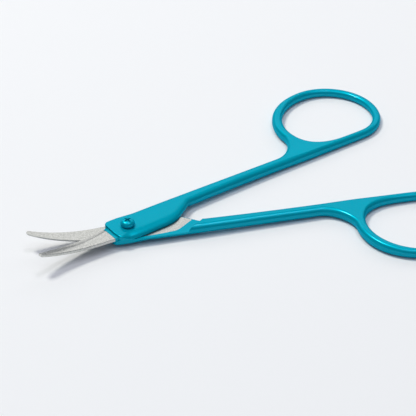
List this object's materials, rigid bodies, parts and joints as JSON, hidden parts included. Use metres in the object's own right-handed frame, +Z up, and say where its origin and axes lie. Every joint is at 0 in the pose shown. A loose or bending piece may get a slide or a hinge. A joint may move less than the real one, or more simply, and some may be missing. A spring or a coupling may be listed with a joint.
{
  "type": "nail scissors",
  "caption": "Curved nail scissors: two enamelled steel halves with finger rings, crossed at a lapped joint and turning on a cross-recess pivot screw, lying partly open.",
  "frame": {"origin": "on the pivot axis, at the flat end of the pivot screw, which stands 0.9 mm proud of the lower joint plate", "axes": "+X from the pivot towards the finger rings, midway between the two handles; +Y towards the upper half's handle; +Z up along the pivot axis, out of the screw's head"},
  "size_m": [0.1018, 0.0762, 0.0055],
  "materials": {
    "teal_enamel": "gloss",
    "bare_steel": "satin"
  },
  "bodies": {
    "lower": {"lower_half": "teal_enamel", "pivot_screw": "teal_enamel"},
    "upper": {"upper_half": "teal_enamel"}
  },
  "joints": [
    {"name": "pivot", "type": "hinge", "parent": "lower", "child": "upper", "pos_m": [0, 0, 0], "axis": [0, 0, 1], "range_deg": [-22.2, 120]}
  ]
}
